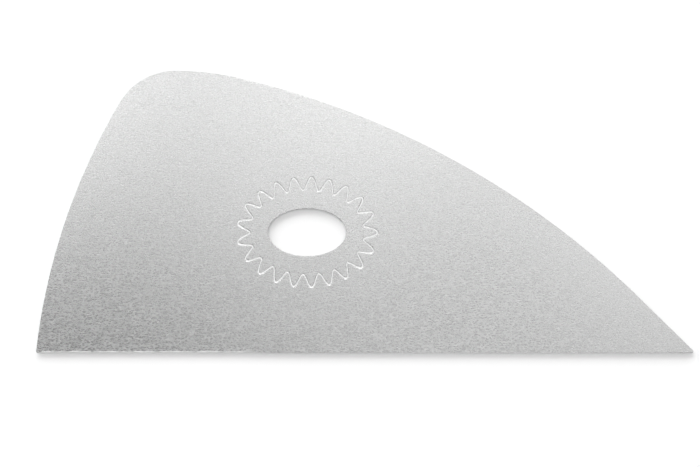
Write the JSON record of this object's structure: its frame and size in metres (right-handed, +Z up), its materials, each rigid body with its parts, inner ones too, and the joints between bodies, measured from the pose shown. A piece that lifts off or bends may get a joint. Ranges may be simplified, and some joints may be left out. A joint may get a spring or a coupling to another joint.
{
  "type": "pottery rib",
  "caption": "Thin flat metal pottery rib with a long curved back, a sharp point, a straight base, a steep heel and an oval finger hole.",
  "frame": {"origin": "middle of the blade's length and height, on its underside", "axes": "+X along the length towards the point, +Y across the blade from the straight base to the curved back, +Z up through the sheet, which lies flat"},
  "size_m": [0.1396, 0.0599, 0.0005],
  "materials": {
    "sheet_steel": "cold-rolled stainless sheet with a fine satin grain along its length, edges lightly broken"
  },
  "bodies": {
    "root": {"rib_blade": "sheet_steel"}
  },
  "joints": []
}
